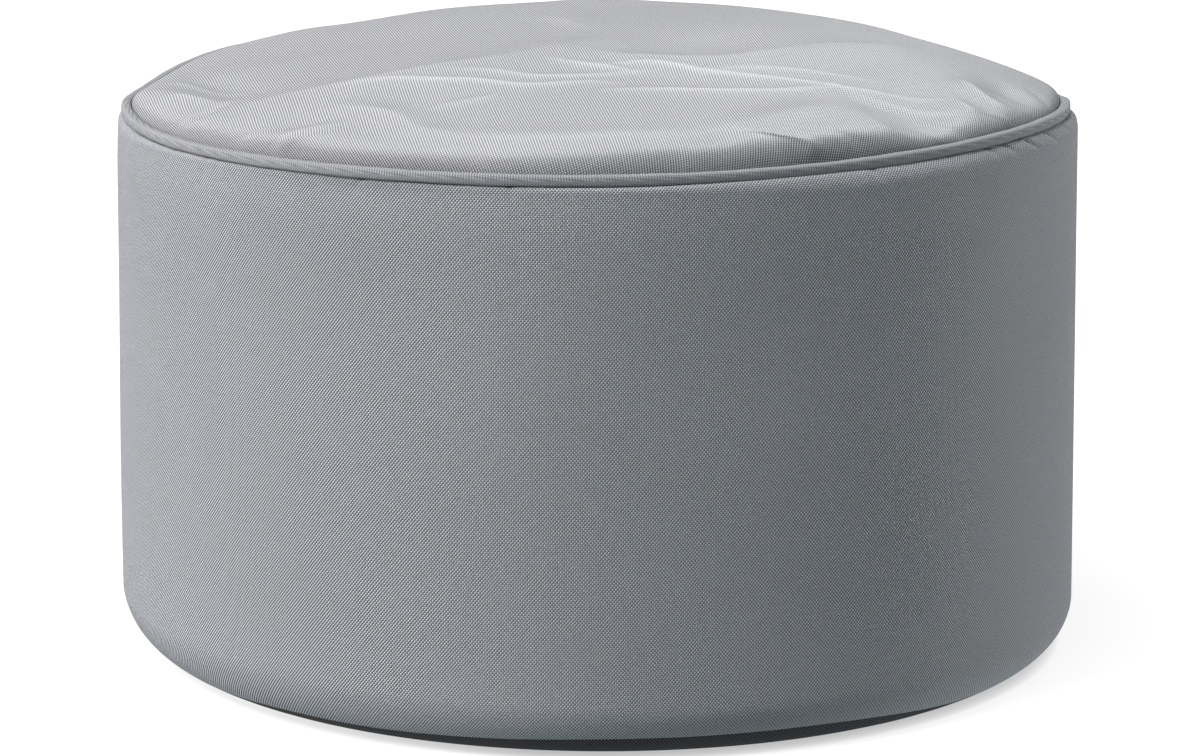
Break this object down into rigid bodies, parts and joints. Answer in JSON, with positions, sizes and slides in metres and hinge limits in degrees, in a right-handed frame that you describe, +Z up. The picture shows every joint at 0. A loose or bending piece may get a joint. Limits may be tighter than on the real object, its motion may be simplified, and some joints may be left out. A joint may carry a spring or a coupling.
{
  "type": "bean bag pouf",
  "caption": "Round drum-shaped bean bag pouf in grey basket-weave cloth, with a crowned, folded top, a piped top seam and a dark base panel.",
  "frame": {"origin": "middle of the flat underside, on the floor", "axes": "+Z up, -Y towards the front that the picture shows, +X to the right in that view"},
  "size_m": [0.607, 0.6074, 0.3915],
  "materials": {
    "grey_top_cloth": "matte basket-weave cloth, light grey",
    "grey_side_cloth": "matte basket-weave cloth, light grey",
    "grey_piping_cloth": "matte basket-weave cloth over cord, light grey",
    "charcoal_base_cloth": "matte plain cloth, charcoal"
  },
  "bodies": {
    "root": {"top_panel": "grey_top_cloth", "side_panel_front": "grey_side_cloth", "side_panel_back": "grey_side_cloth", "piping": "grey_piping_cloth", "base_panel": "charcoal_base_cloth"}
  },
  "joints": []
}
